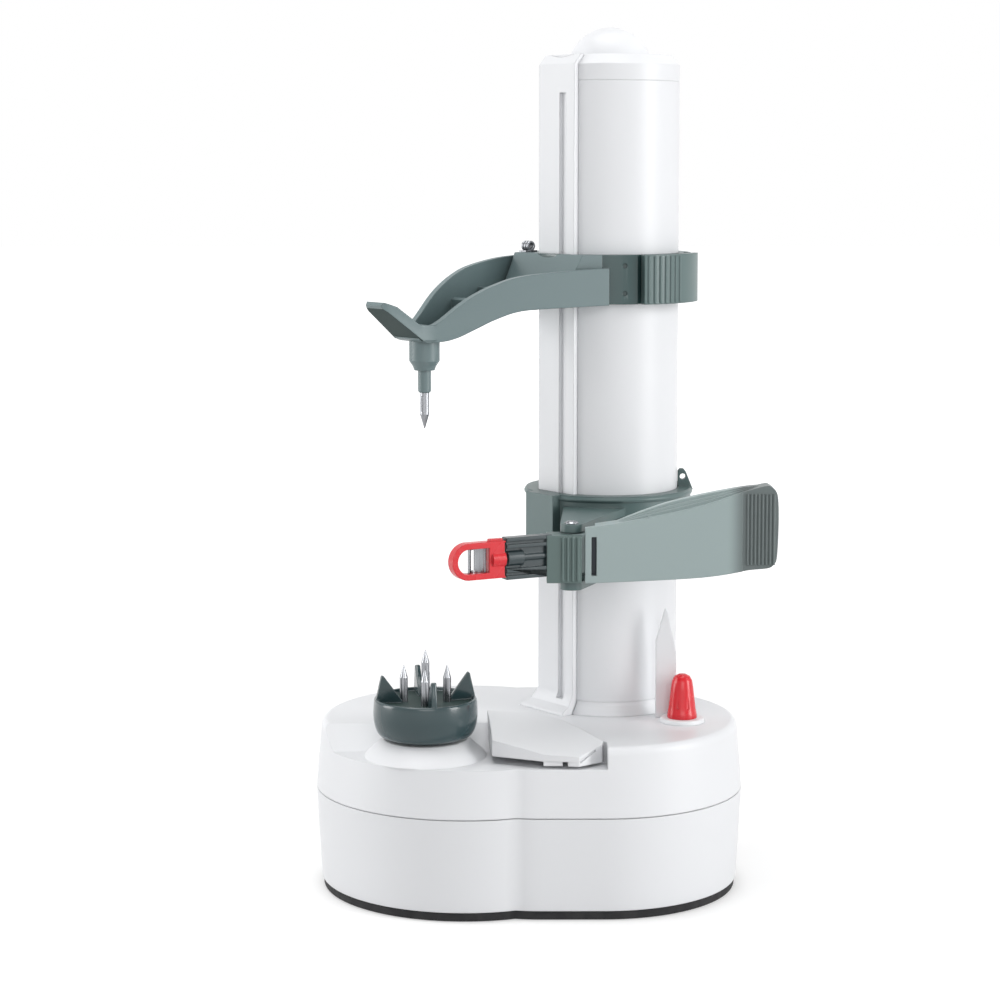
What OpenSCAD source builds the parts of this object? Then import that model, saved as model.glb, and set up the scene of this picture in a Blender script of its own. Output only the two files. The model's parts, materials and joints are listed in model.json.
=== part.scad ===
// Electric potato peeler: a geared base, a column with a lead screw, a sliding peeling
// carriage with a squeeze lever, and an upper arm that holds the food from above.
// Origin: centre of the base on the table. +X right, +Y away from the user, +Z up.

/* [Base] */
// Radius of the left lobe, under the food
left_lobe_r = 50; // [49:0.5:51]
// Radius of the right lobe, under the column
right_lobe_r = 47.6; // [47:0.2:48.6]
// Height of the seam between lower and upper shell
seam_z = 33.5; // [33:0.5:34]
// Height of the lowered deck round the food hub
low_deck_z = 49; // [48.5:0.5:49.5]
// Height of the main deck
deck_z = 56; // [55.5:0.5:57]
// Wall thickness of the base shells
wall = 2.2; // [1.8:0.1:2.4]
// Inward draft of the lower shell at its foot
draft = 1.6; // [1:0.2:2]
// Thickness of the black non-slip pad
pad_t = 3; // [2.6:0.2:3]

/* [Drive] */
// Module of the upper gear train
gear_m = 1; // [1:1]
// Teeth of the food gear
food_teeth = 30; // [30:1:30]
// Teeth of the idler between food gear and screw gear
idler_teeth = 46; // [46:1:46]
// Teeth of the lead screw's gear
screw_teeth = 34; // [34:1:34]
// Direction from the food axis to the column axis, in degrees
train_angle = 38.2; // [37.5:0.1:39]
// Radius of the lead screw
screw_r = 4; // [3.5:0.1:4.2]

/* [Food holder] */
// Rim radius of the grey food cup
cup_r = 16.7; // [16:0.1:17]
// Height of the cup's rim
cup_rim_z = 68; // [67.5:0.5:68.5]
// Number of fins round the rim
fin_count = 4; // [3:1:5]

/* [Column] */
// Radius of the column
col_r = 23.4; // [23:0.1:23.6]
// Height of the column's top edge
col_top_z = 275.6; // [272:0.1:278]
// Width of the flat rail that faces the food
rail_w = 18; // [17:0.5:18.5]
// Width of the slot that the half nut runs in
slot_w = 3.2; // [3:0.1:3.4]

/* [Carriage] */
// Outer radius of the carriage collar
carriage_r = 28; // [27.6:0.1:28.2]
// Lowest height of the carriage collar
carriage_z = 106; // [105:0.5:107]
// Height of the carriage collar
carriage_h = 24.4; // [23:0.2:25]
// Number of ribs on the lever's grip
grip_ribs = 8; // [5:1:8]

/* [Upper arm] */
// Outer radius of the arm's collar
arm_r = 27.4; // [27:0.1:27.6]
// Lowest height of the arm's collar
arm_z = 193.9; // [192:0.1:195]
// Height of the arm's collar
arm_h = 16.2; // [15:0.2:17]
// Wall thickness of the open channel of the arm
arm_wall = 2.4; // [2:0.1:2.8]

/* [Hidden] */
$fn = 96;
curve_fn = 32;

// a sliding fit, and the gap of a shaft in its bearing
slide_gap = 0.3;
shaft_gap = 0.05;

// left lobe, and the two ends of the right lobe
left_lobe = [-19.5, 0.5];
right_lobe_in = [5.1, 0];
right_lobe_out = [24.9, 0];
edge_fillet = 2.8;
upper_draft = 1.9;
food = [-32.5, -26];
hub_r = 19.8;
hub_top_r = 13;
hub_top_z = 54.6;

// the lowered deck runs from the hub to the front edge, with a ramp behind it
ramp_front_y = -22;
ramp_back_y = -11;
ramp_right = 13.2;
key_end_x = 25.6;

// gear train: pitch radii, centres and phases
food_pr = gear_m * food_teeth / 2;
idler_pr = gear_m * idler_teeth / 2;
screw_pr = gear_m * screw_teeth / 2;
train = [cos(train_angle), sin(train_angle)];
idler = food + train * (food_pr + idler_pr);
column = food + train * (food_pr + 2 * idler_pr + screw_pr);
guide_angle = train_angle + 180;
compound_angle = 150;
pinion_teeth = 12;
compound = idler + (idler_pr + gear_m * pinion_teeth / 2) * [cos(compound_angle), sin(compound_angle)];
wheel_m = 0.8;
wheel_teeth = 50;
motor_teeth = 10;
motor_angle = 240;
motor_reach = wheel_m * (wheel_teeth + motor_teeth) / 2;
motor_at = compound + motor_reach * [cos(motor_angle), sin(motor_angle)];
gear_z = 37.5;
gear_h = 5;
wheel_z = 29.5;
wheel_h = 4;
plate_z = 34.5;
plate_t = 2;
axle_r = 1.5;

// column rail, measured from the column's axis towards the food
rail_d = 23.3;
col_wall = 2.2;
slot_off = 3.2;
groove_depth = 1.2;
// direction of the half nut and its slot, from the rail towards the back
nut_angle = -62;
cap_z = 267;
slot_top_z = 263;
dome_r = 14.2;
dome_drop = 4.7;

// squeeze lever: pivot, the peeling blade's arm and the grip
pivot = [14.2, -39.4];
pivot_r = 1.6;
knuckle_r = 3.6;
lever_z = 108.7;
lever_top_z = 123.8;
blade_angle = 207;
blade_z = 117.4;
grip_y = -46;

// release button on the arm's collar
button_angle = 320;
button_half = 30;
button_r = 30;
pocket_r = 25.3;

// battery bay: two layers of two cells
cell_r = 7.1;
cell_len = 49;
bay = [11, -37.5];
bay_size = [29.4, 52];

knife = [52, -9];
jack_at = [-19.5, 50.5, 18];

white_abs = [0.93, 0.94, 0.95];
grey_abs = [0.37, 0.45, 0.46];
dark_grey = [0.22, 0.28, 0.29];
black = [0.06, 0.06, 0.07];
red = [0.82, 0.1, 0.13];
steel = [0.75, 0.76, 0.78];
brass = [0.72, 0.58, 0.3];
nylon = [0.88, 0.87, 0.82];

// ---- helpers ----

// places children on the column's axis, with +X towards the food
module on_column() translate([column.x, column.y, 0]) rotate([0, 0, guide_angle]) children();

// places children on the food's axis
module on_food() translate([food.x, food.y, 0]) children();

// a smooth line through points, with n steps from each to the next
function curve_point(p, i, t) = let (
    a = p[max(i - 1, 0)], b = p[i], c = p[i + 1], d = p[min(i + 2, len(p) - 1)])
    0.5 * (2 * b + (c - a) * t + (2 * a - 5 * b + 4 * c - d) * t * t
           + (3 * b - a - 3 * c + d) * t * t * t);
function smooth_line(p, n = 4) = concat(
    [for (i = [0 : len(p) - 2]) for (k = [0 : n - 1]) curve_point(p, i, k / n)],
    [p[len(p) - 1]]);

module at(p, z = 0) translate([p.x, p.y, z]) children();

module tube(outer_r, inner_r, h) difference() {
    cylinder(r = outer_r, h = h);
    translate([0, 0, -1]) cylinder(r = inner_r, h = h + 2);
}

// half of a lobe's upright section: drafted both ways from the seam, with a rounded top edge
module lobe_section(r, low, high, foot_r, round_r) {
    steps = 5;
    lean = high > seam_z ? upper_draft * (high - round_r - seam_z) / (deck_z - seam_z) : 0;
    polygon(concat([[0, low], [foot_r, low], [r, min(seam_z, high - round_r)]],
        [for (i = [0 : steps]) let (a = 90 * i / steps)
            [r - lean - round_r * (1 - cos(a)) * 0.8, high - round_r * (1 - sin(a))]],
        [[0, high]]));
}

// the base's outer form between two heights, set in by a wall thickness
module base_form(low, high, inset = 0, foot = 0, round_r = 0.01) {
    module section(r) lobe_section(r - inset, low, high, r - inset - foot, round_r);
    at(left_lobe) rotate_extrude() section(left_lobe_r);
    at(right_lobe_in) rotate_extrude() section(right_lobe_r);
    at(right_lobe_out) rotate_extrude() section(right_lobe_r);
    translate([right_lobe_in.x, 0, 0]) rotate([90, 0, 90])
        linear_extrude(right_lobe_out.x - right_lobe_in.x) {
            section(right_lobe_r);
            mirror([1, 0]) section(right_lobe_r);
        }
}

// the room above the lowered deck, lifted by a plate thickness for the underside
module low_deck_room(lower = 0, grow = 0) {
    // floor of the room, cut off along the key's edge on the right
    translate([0, 0, low_deck_z - lower]) linear_extrude(20)
        polygon([[-90, ramp_front_y + grow], [-90, -70], [key_end_x + grow, -70],
                 [key_end_x + grow, -38], [ramp_right + grow, -22.6],
                 [ramp_right + grow, ramp_front_y + grow]]);
    // ramp up to the main deck
    translate([-90, 0, 0]) rotate([90, 0, 90]) linear_extrude(90 + ramp_right + grow)
        polygon([[ramp_front_y - 0.01, low_deck_z - lower], [ramp_front_y + grow, low_deck_z - lower],
                 [ramp_back_y + grow, deck_z - lower], [ramp_back_y + grow, 80],
                 [ramp_front_y - 0.01, 80]]);
}

// involute gear outline with a little backlash
function involute(a) = tan(a) * 180 / PI - a;
function tooth_half(n, r, base_r) =
    90 / n * 0.93 + involute(20) - involute(acos(min(1, base_r / max(r, base_r))));
module gear_outline(n, m) {
    pitch = n * m / 2;
    base_r = pitch * cos(20);
    rows = [pitch - 1.2 * m, pitch, pitch + 0.9 * m];
    polygon([for (i = [0 : n - 1]) each concat(
        [for (r = rows) let (a = 360 * i / n - tooth_half(n, r, base_r)) [r * cos(a), r * sin(a)]],
        [for (k = [2 : -1 : 0]) let (r = rows[k], a = 360 * i / n + tooth_half(n, r, base_r))
            [r * cos(a), r * sin(a)]])]);
}
// phase of a gear that meshes with another in direction phi
function mesh_turn(phi, n1, turn1, n2) =
    phi + 180 - (0.5 - (phi - turn1) * n1 / 360) * 360 / n2;
idler_turn = mesh_turn(train_angle, food_teeth, 0, idler_teeth);
screw_turn = mesh_turn(train_angle, idler_teeth, idler_turn, screw_teeth);
pinion_turn = mesh_turn(compound_angle, idler_teeth, idler_turn, pinion_teeth);
motor_turn = mesh_turn(motor_angle, wheel_teeth, 0, motor_teeth);

module spur_gear(n, m, h, bore_r, turn, web = false) {
    pitch = n * m / 2;
    hole_n = 6;
    difference() {
        rotate([0, 0, turn]) linear_extrude(h) gear_outline(n, m);
        translate([0, 0, -1]) cylinder(r = bore_r, h = h + 2);
        if (web) {
            translate([0, 0, h - 1.4]) tube(pitch - 3, bore_r + 3, 2);
            translate([0, 0, -0.6]) tube(pitch - 3, bore_r + 3, 2);
            for (i = [0 : hole_n - 1]) rotate([0, 0, i * 360 / hole_n])
                translate([pitch * 0.55, 0, -1]) cylinder(r = pitch * 0.13, h = h + 2);
        }
    }
}

// the column's outline, seen from above, with +X towards the food
module column_outline(grow = 0) {
    circle(r = col_r + grow);
    translate([0, -rail_w / 2 - grow]) square([rail_d + grow, rail_w + 2 * grow]);
}

// a coil spring drawn as stacked rings
module coil(r, wire_r, h, turns) {
    pitch = h / turns;
    for (i = [0 : turns - 1]) translate([0, 0, wire_r + i * (h - 2 * wire_r) / (turns - 1)])
        rotate_extrude() translate([r, 0]) circle(r = wire_r, $fn = 24);
}

// ---- base ----

// black non-slip pad, with an opening for the battery door and its thumb recess
module foot_pad() color(black) difference() {
    base_form(0, pad_t, draft + 0.6);
    translate([bay.x - 1.5, bay.y - 1.5, -1]) cube([bay_size.x + 3, bay_size.y + 13, pad_t + 2]);
}

module bottom_plate() color(white_abs) difference() {
    translate([0, 0, pad_t]) base_form(0, 2, draft + wall + 0.2);
    translate([bay.x, bay.y, 0]) cube([bay_size.x, bay_size.y, 8]);
    at_screws() cylinder(r = 2.9, h = 8);
}

// housing screws: lobe centre, lobe radius and direction of each
screw_places = [[left_lobe, left_lobe_r, 150], [left_lobe, left_lobe_r, 215],
                [right_lobe_out, right_lobe_r, -22], [right_lobe_out, right_lobe_r, 42]];
screw_inset = 6.8;
post_r = 3.4;
post_z = 31;
module at_screws() for (place = screw_places) at(place[0]) rotate([0, 0, place[2]])
    translate([place[1] - screw_inset, 0, 0]) children();
// a screw post and the rib that ties it to the wall
module screw_post(low, high) translate([0, 0, low]) {
    cylinder(r = post_r, h = high - low);
    translate([0, -1, 0]) cube([screw_inset - 0.4, 2, high - low]);
}

module base_lower_shell() color(white_abs) difference() {
    union() {
        difference() {
            base_form(pad_t, seam_z - 0.25, 0, draft);
            translate([0, 0, -1]) base_form(pad_t, seam_z + 2, wall, draft);
        }
        // screw posts, tied to the wall by the shell's own thickness
        intersection() {
            union() {
                at_screws() screw_post(pad_t + 2, post_z - 0.2);
                // ribs from the battery tray to the front wall
                for (x = [bay.x + 5, bay.x + 23]) translate([x, bay.y - 11, pad_t + 2.1])
                    cube([1.6, 10, 24]);
            }
            base_form(pad_t, seam_z, 1, draft);
        }
        // battery tray
        translate([bay.x - 1.4, bay.y - 1.4, pad_t + 2.1]) difference() {
            cube([bay_size.x + 2.8, bay_size.y + 2.8, 24]);
            translate([1.4, 1.4, -1]) cube([bay_size.x, bay_size.y, 26]);
        }
    }
    at_screws() cylinder(r = 1.5, h = seam_z + 1);
    translate(jack_at) rotate([90, 0, 0]) cylinder(r = 5.2, h = 20, center = true);
}

// outline of the start key, seen from above
key_plan = [[-12.5, -11], [5, -14.5], [12, -24], [24.5, -38.5], [24, -40.5], [16.5, -46.4],
            [5, -45.2], [-11, -38]];
key_stem = [3, -31];
knife_slot_r = 3.6;
knife_slot_h = 13;

module base_upper_shell() color(white_abs) difference() {
    union() {
        difference() {
            base_form(seam_z, deck_z, 0, 0, edge_fillet);
            base_form(seam_z - 1, deck_z - wall, wall, 0, edge_fillet);
            low_deck_room();
        }
        // skin under the lowered deck
        intersection() {
            base_form(seam_z, deck_z, 0, 0, edge_fillet);
            difference() {
                low_deck_room(wall, wall);
                low_deck_room();
            }
        }
        // posts over the lower shell's posts
        intersection() {
            at_screws() screw_post(post_z, low_deck_z - wall + 0.4);
            union() {
                base_form(pad_t, seam_z, wall + 0.2, draft);
                base_form(seam_z - 0.1, deck_z, 1);
            }
        }
        // cone that carries the food spindle
        on_food() rotate_extrude() polygon([[6, low_deck_z - wall], [hub_r - 2, low_deck_z - wall],
            [hub_r, low_deck_z], [hub_r - 0.6, low_deck_z + 0.9], [hub_top_r + 1.6, hub_top_z - 0.6],
            [hub_top_r + 0.6, hub_top_z], [6, hub_top_z]]);
        // collar under the column's wall, flush with the back of the base
        on_column() translate([0, 0, deck_z - 7]) tube(col_r + 0.2, foot_r, 7);
        // pocket for the knife's blade
        at(knife, deck_z - knife_slot_h - 1.2) cylinder(r = knife_slot_r + 1.2, h = knife_slot_h);
    }
    at_screws() translate([0, 0, post_z - 1]) cylinder(r = 1.3, h = 9);
    on_food() translate([0, 0, seam_z]) cylinder(r = 6, h = 40);
    on_food() translate([0, 0, hub_top_z]) cylinder(r = cup_r + 1, h = 9);
    on_column() translate([0, 0, deck_z - wall - 1]) cylinder(r = foot_r, h = 10);
    at(key_stem, seam_z) cylinder(r = 2.6, h = 30);
    at(knife, deck_z - knife_slot_h) cylinder(r = knife_slot_r, h = knife_slot_h + 9);
}

module battery_door() color(black) difference() {
    translate([bay.x - 1, bay.y - 1, 0.5]) cube([bay_size.x + 2, bay_size.y + 2, 2]);
    // thumb recess with grip grooves
    for (i = [0 : 3]) translate([bay.x + 8, bay.y + 38 + i * 3, 0.4])
        cube([bay_size.x - 16, 1.2, 0.7]);
}

module battery_cells() for (layer = [0, 1]) for (side = [0, 1])
    translate([bay.x + 7.35 + side * 14.7, bay.y + 1.6, pad_t + 3 + cell_r + layer * 14.4])
        rotate([-90, 0, 0]) {
            color(black) cylinder(r = cell_r - 0.1, h = cell_len - 1);
            color(steel) translate([0, 0, cell_len - 1]) cylinder(r = 2.7, h = 1);
        }

module battery_contacts() color(steel) for (layer = [0, 1]) for (side = [0, 1])
    translate([bay.x + 7.35 + side * 14.7, bay.y + bay_size.y - 1.2, pad_t + 3 + cell_r + layer * 14.4])
        translate([-4.5, 0, -4.5]) cube([9, 0.5, 9]);

// barrel jack in the back wall, with its centre pin
jack_len = 12;
module dc_jack() color(black) translate(jack_at) rotate([90, 0, 0]) {
    difference() {
        translate([0, 0, 0.6]) cylinder(r = 5.1, h = jack_len);
        translate([0, 0, -1]) cylinder(r = 2.75, h = jack_len);
    }
    translate([0, 0, 1.6]) cylinder(r = 1.05, h = jack_len - 2);
}

// ---- drive ----

motor_h = 24;
module motor() color(steel) at(motor_at, pad_t + 2) {
    rotate_extrude() polygon([[0, 0], [9, 0], [12, 1.5], [12, motor_h - 3], [9, motor_h - 2],
        [3.2, motor_h - 2], [3.2, motor_h - 0.6], [0, motor_h - 0.6]]);
}

module motor_pinion() color(brass) at(motor_at, pad_t + 2 + motor_h) {
    translate([0, 0, wheel_z - pad_t - motor_h - 2]) spur_gear(motor_teeth, wheel_m, wheel_h, 0.9, motor_turn);
    cylinder(r = 1, h = wheel_z + wheel_h - pad_t - motor_h - 2);
}

module compound_gear() color(nylon) at(compound) {
    translate([0, 0, wheel_z]) spur_gear(wheel_teeth, wheel_m, wheel_h, axle_r + shaft_gap, 0);
    translate([0, 0, wheel_z + wheel_h]) tube(3.4, axle_r + shaft_gap, gear_z - wheel_z - wheel_h);
    translate([0, 0, gear_z]) spur_gear(pinion_teeth, gear_m, gear_h, axle_r + shaft_gap, pinion_turn);
}

module idler_gear() color(nylon) at(idler, gear_z)
    spur_gear(idler_teeth, gear_m, gear_h, axle_r + shaft_gap, idler_turn, true);

// chassis plate under the upper train, on legs
legs = [[-54, 2], [-8, 36]];
module gear_plate() color(grey_abs) difference() {
    union() {
        translate([0, 0, plate_z]) linear_extrude(plate_t) {
            hull() {
                translate(food) circle(r = 9);
                translate(idler) circle(r = 9);
            }
            hull() {
                translate(idler) circle(r = 9);
                translate(column) circle(r = 13);
            }
            hull() {
                translate(idler) circle(r = 9);
                translate(legs[0]) circle(r = 5);
            }
            hull() {
                translate(idler) circle(r = 9);
                translate(legs[1]) circle(r = 5);
            }
        }
        for (i = [0, 1]) at(legs[i], pad_t + 2) cylinder(r = 3.2, h = plate_z - pad_t - 2 + 0.5);
    }
    on_food() translate([0, 0, plate_z - 1]) cylinder(r = 3 + shaft_gap, h = 4);
    on_column() translate([0, 0, plate_z - 1]) cylinder(r = 5.5, h = 4);
    at(compound, plate_z - 1) cylinder(r = 4.2, h = 4);
    at(idler, plate_z - 1) cylinder(r = axle_r, h = 4);
}

module gear_axles() color(steel) {
    at(idler, plate_z) cylinder(r = axle_r, h = gear_z + gear_h + 0.8 - plate_z);
    at(compound, pad_t + 2) cylinder(r = axle_r, h = gear_z + gear_h + 0.8 - pad_t - 2);
}

module start_switch() at(key_stem, 0) {
    color(black) translate([-3.2, -6.4, 26]) cube([6.4, 12.8, 10]);
    color(red) translate([-1, -1.5, 36]) cube([2, 3, 1.2]);
}

// broad start key: high at the back, falling to an end that is cut off over the front wall
key_low_z = low_deck_z + 0.95;
key_skin_z = low_deck_z + 2.4;
module start_key() color(white_abs) {
    difference() {
        union() {
            intersection() {
                translate([0, 0, low_deck_z]) linear_extrude(20) polygon(key_plan);
                // rise of the key's top, from front to back
                translate([-30, -50, 0]) rotate([90, 0, 90]) linear_extrude(70)
                    polygon([[-1, key_skin_z], [28, key_skin_z], [39, deck_z + 2.3], [40, deck_z + 2.3],
                             [40, 60.2], [36, 60.2], [26, 59.8], [19, 58.5], [11.5, 56.4],
                             [7, 54.7], [3.6, 53.1], [0, 52]]);
            }
            // skirt under the cut-off end, and a block under the front edge
            translate([0, 0, key_low_z]) linear_extrude(key_skin_z - key_low_z + 0.5)
                polygon([[13, -45.8], [16.5, -46.4], [24, -40.5], [24.5, -38.5], [18, -33.5], [13, -40]]);
            translate([5.3, -45.2, key_low_z]) cube([6.1, 3.4, key_skin_z - key_low_z + 0.5]);
        }
        // hollow underneath
        translate([0, 0, low_deck_z]) linear_extrude(3.6)
            polygon([[-8, -26], [8, -26], [14, -36], [8, -41], [-7, -36]]);
        // slit along the cut-off end
        translate([17.4, -46.5, key_low_z + 1.1]) rotate([0, -24, 38.2]) cube([7, 1.3, 0.8]);
        on_food() translate([0, 0, low_deck_z]) cylinder(r1 = hub_r + 2.4, r2 = hub_top_r + 3.4, h = 5.9);
        on_food() cylinder(r = cup_r + 1, h = 90);
    }
    at(key_stem, 39.2) cylinder(r = 1.7, h = low_deck_z + 4 - 39.2);
    at(key_stem, low_deck_z + 3.4) cylinder(r = 5, h = 1.4);
}

module start_spring() color(steel) at(key_stem, low_deck_z) coil(3.7, 0.35, 3.3, 4);

module housing_screws() color(steel) at_screws() translate([0, 0, pad_t + 0.1]) {
    difference() {
        cylinder(r = 2.6, h = 1.8);
        translate([-2, -0.3, -1]) cube([4, 0.6, 1.6]);
        translate([-0.3, -2, -1]) cube([0.6, 4, 1.6]);
    }
    cylinder(r = 1.3, h = post_z + 3);
}

// ---- food drive ----

bush_r = 6;
bush_in = 4;
module spindle_bush() color(brass) on_food() difference() {
    union() {
        translate([0, 0, low_deck_z - wall]) cylinder(r = bush_r, h = hub_top_z - low_deck_z + wall);
        translate([0, 0, low_deck_z - wall - 1]) cylinder(r = bush_r + 1.2, h = 1);
    }
    translate([0, 0, 40]) cylinder(r = bush_in + shaft_gap, h = 20);
}

module food_spindle() color(steel) on_food() {
    translate([0, 0, plate_z]) cylinder(r = 3, h = gear_z - plate_z + 1);
    translate([0, 0, gear_z]) cylinder(r = bush_in, h = hub_top_z + 2 - gear_z);
}

module food_gear() color(nylon) on_food() translate([0, 0, gear_z])
    spur_gear(food_teeth, gear_m, gear_h, bush_in, 0, true);

cup_z = hub_top_z + 0.5;
cup_floor = 2.4;
module food_cup() color(grey_abs) on_food() {
    difference() {
        rotate_extrude() polygon(concat([[0, cup_z], [cup_r - 3.6, cup_z]],
            [for (i = [0 : 6]) let (a = i * 15)
                [cup_r - 2.6 + 2.8 * sin(a), cup_z + 0.6 + 7.5 * (1 - cos(a))]],
            [[cup_r, cup_rim_z - 0.8], [cup_r - 0.3, cup_rim_z], [cup_r - 1.8, cup_rim_z],
             [cup_r - 2.2, cup_z + 6], [cup_r - 5, cup_z + cup_floor], [0, cup_z + cup_floor]]));
        translate([0, 0, 50]) cylinder(r = bush_in, h = hub_top_z + 2 - 50);
    }
    // fins that grip the food from below
    for (i = [0 : fin_count - 1]) rotate([0, 0, 45 + i * 360 / fin_count])
        rotate([90, 0, 0]) translate([0, 0, -0.8]) linear_extrude(1.6)
            polygon([[4.6, cup_z + 2], [cup_r - 2.8, cup_z + 2], [cup_r - 1, cup_rim_z - 0.4],
                     [cup_r - 1.4, cup_rim_z + 6.8], [4.6, cup_rim_z - 1.5]]);
}

spike_r = 1.3;
spike_ring = 7;
module spike(h) rotate_extrude() polygon([[0, 0], [spike_r, 0], [spike_r, h - 4], [0.15, h], [0, h]]);
module food_spikes() color(steel) on_food() translate([0, 0, cup_z + cup_floor]) {
    spike(26);
    for (i = [0 : 3]) rotate([0, 0, i * 90]) translate([spike_ring, 0, 0]) spike(21);
}

// ---- column ----

foot_r = 21;
chamfer = 3.2;
foot_h = 4.6;
flare = 4.6;
module column_wall_cut() translate([0, 0, -1]) cylinder(r = col_r - col_wall, h = 400);

// room for the rail in the parts behind it
module rail_room() difference() {
    translate([10, -rail_w / 2 - 0.1, deck_z - 0.01]) cube([40, rail_w + 0.2, 300]);
    cylinder(r = col_r - col_wall - 0.1, h = 400);
}

// flared foot of the rail, wider on the side away from the user
module rail_foot() intersection() {
    translate([0, 40, deck_z]) rotate([90, 0, 0]) linear_extrude(80)
        polygon([[col_r - 4, 0], [rail_d + flare, 0], [rail_d + flare - 0.4, 0.9],
                 [rail_d + flare * 0.35, foot_h * 0.6], [rail_d, foot_h + 2.2], [col_r - 4, foot_h + 2.2]]);
    translate([0, 0, deck_z]) rotate([90, 0, 90]) linear_extrude(80)
        polygon([[-rail_w / 2 - flare, 0], [rail_w / 2, 0], [rail_w / 2, foot_h + 2.2],
                 [-rail_w / 2, foot_h + 2.2], [-rail_w / 2 - flare * 0.35, foot_h * 0.6],
                 [-rail_w / 2 - flare + 0.4, 0.9]]);
}

module column_rail() color(white_abs) on_column() difference() {
    union() {
        translate([0, rail_w / 2, 0]) rotate([90, 0, 0]) linear_extrude(rail_w)
            polygon([[10, deck_z], [rail_d, deck_z], [rail_d, col_top_z - chamfer],
                     [rail_d - 2.8, col_top_z], [10, col_top_z]]);
        difference() {
            rail_foot();
            // the foot's wing stays outside the cover's wall
            intersection() {
                cylinder(r = col_r + 0.05, h = 400);
                translate([0, -40 - rail_w / 2, 0]) cube([60, 40, 300]);
            }
        }
    }
    column_wall_cut();
    // guide groove
    translate([rail_d - groove_depth, slot_off - slot_w / 2, deck_z + foot_h])
        cube([9, slot_w, slot_top_z - deck_z - foot_h]);
}

module column_cover() color(white_abs) on_column() difference() {
    union() {
        translate([0, 0, deck_z]) cylinder(r = col_r, h = cap_z - deck_z);
        // flared foot round the front, clear of the base's back wall and of the rail's foot
        difference() {
            rotate([0, 0, -guide_angle]) intersection() {
                rotate_extrude() polygon([[col_r - 1, deck_z], [col_r + 1.9, deck_z],
                    [col_r + 1.6, deck_z + 0.9], [col_r + 0.5, deck_z + foot_h - 1.2],
                    [col_r + 0.3, deck_z + foot_h], [col_r - 1, deck_z + foot_h]]);
                translate([-40, -40, deck_z - 1]) cube([80, 50, 9]);
            }
            translate([10, -rail_w / 2 - flare - 0.1, deck_z - 1])
                cube([40, rail_w + flare + 0.5, 9]);
        }
        translate([0, 0, deck_z - wall]) cylinder(r = foot_r - 0.1, h = wall + 0.5);
    }
    translate([0, 0, deck_z - wall - 1]) cylinder(r = 16, h = 10);
    translate([0, 0, deck_z + 0.5]) cylinder(r = col_r - col_wall, h = 400);
    rail_room();
    // slot for the half nut
    rotate([0, 0, nut_angle]) translate([10, -slot_w / 2, deck_z + foot_h + 1])
        cube([30, slot_w, slot_top_z - deck_z - foot_h - 1]);
}

module column_cap() color(white_abs) on_column() difference() {
    union() {
        translate([0, 0, cap_z]) cylinder(r = col_r, h = col_top_z - chamfer - cap_z);
        translate([0, 0, col_top_z - chamfer]) cylinder(r1 = col_r, r2 = col_r - 2.6, h = chamfer);
        translate([0, 0, col_top_z - dome_drop]) intersection() {
            sphere(r = dome_r);
            translate([-20, -20, 0]) cube(40);
        }
        translate([0, 0, cap_z - 4]) tube(col_r - col_wall - 0.1, col_r - col_wall - 2, 4.5);
    }
    translate([0, 0, cap_z - 5]) cylinder(r = col_r - col_wall - 1.9, h = 7);
    rail_room();
}

// upper and lower bearing of the lead screw
module screw_bearings() color(brass) on_column() {
    difference() {
        union() {
            translate([0, 0, cap_z - 2]) cylinder(r = 6, h = 4);
            translate([0, 0, cap_z + 1]) cylinder(r = 12, h = 1);
        }
        translate([0, 0, cap_z - 3]) cylinder(r = 2.5 + shaft_gap, h = 4);
    }
    translate([0, 0, plate_z - 1]) difference() {
        cylinder(r = 5.5, h = plate_t + 1);
        translate([0, 0, 0.8]) cylinder(r = 2.5 + shaft_gap, h = 4);
    }
}

module lead_screw() color(steel) on_column() {
    translate([0, 0, plate_z]) cylinder(r = 2.5, h = cap_z + 0.8 - plate_z);
    translate([0, 0, gear_z]) cylinder(r = screw_r, h = cap_z - 3 - gear_z);
}

module screw_gear() color(nylon) at(column, gear_z)
    spur_gear(screw_teeth, gear_m, gear_h, screw_r, screw_turn, true);

// ---- stored knife ----

guard_y = -2.9;
guard_t = 1.2;
module knife_stand() color(white_abs) difference() {
    union() {
        at(knife, deck_z) cylinder(r1 = 7.6, r2 = 7, h = 1.4);
        // upright guard beside the column
        translate([0, guard_y, 0]) rotate([90, 0, 0]) linear_extrude(guard_t)
            polygon([[43.5, deck_z], [50.4, deck_z], [50.4, 78], [47.4, 92], [46.6, 93], [43.5, 82]]);
    }
    at(knife, deck_z - 2) cylinder(r = knife_slot_r - 0.2, h = 6);
}

knife_foot_r = 4.9;
module knife_handle() color(red) at(knife, deck_z + 1.4) {
    difference() {
        rotate_extrude() polygon([[0, 0], [knife_foot_r, 0], [knife_foot_r, 1.1], [4.5, 3],
            [3.7, 10], [3.3, 12.4], [2.5, 13.8], [1.2, 14.5], [0, 14.6]]);
        for (i = [0 : 7]) rotate([0, 0, i * 45 + 22.5]) translate([4.55, 0, 3.4])
            cylinder(r = 0.5, h = 6);
    }
    translate([0, 0, -3]) cylinder(r = 2.6, h = 3.5);
}

module knife_blade() color(steel) at(knife, 0) translate([-2.2, -0.4, deck_z - 11]) difference() {
    cube([4.4, 0.8, 9.4]);
    translate([-2, -1, -2]) rotate([0, 40, 0]) cube([4, 3, 4]);
}

// ---- peeling carriage ----

lug_t = 2.6;
top_lug_z = lever_top_z + 0.3;
low_lug_z = lever_z - 0.3 - lug_t;
carriage_top = carriage_z + carriage_h;

// flat lug from the collar out to the lever's pivot
module pivot_lug() linear_extrude(lug_t) difference() {
    hull() {
        translate(pivot) circle(r = knuckle_r, $fn = curve_fn);
        translate(column) rotate(-103) translate([carriage_r - 8, 0]) square([4, 22], center = true);
    }
    translate(column) circle(r = col_r + 2);
}

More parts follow.
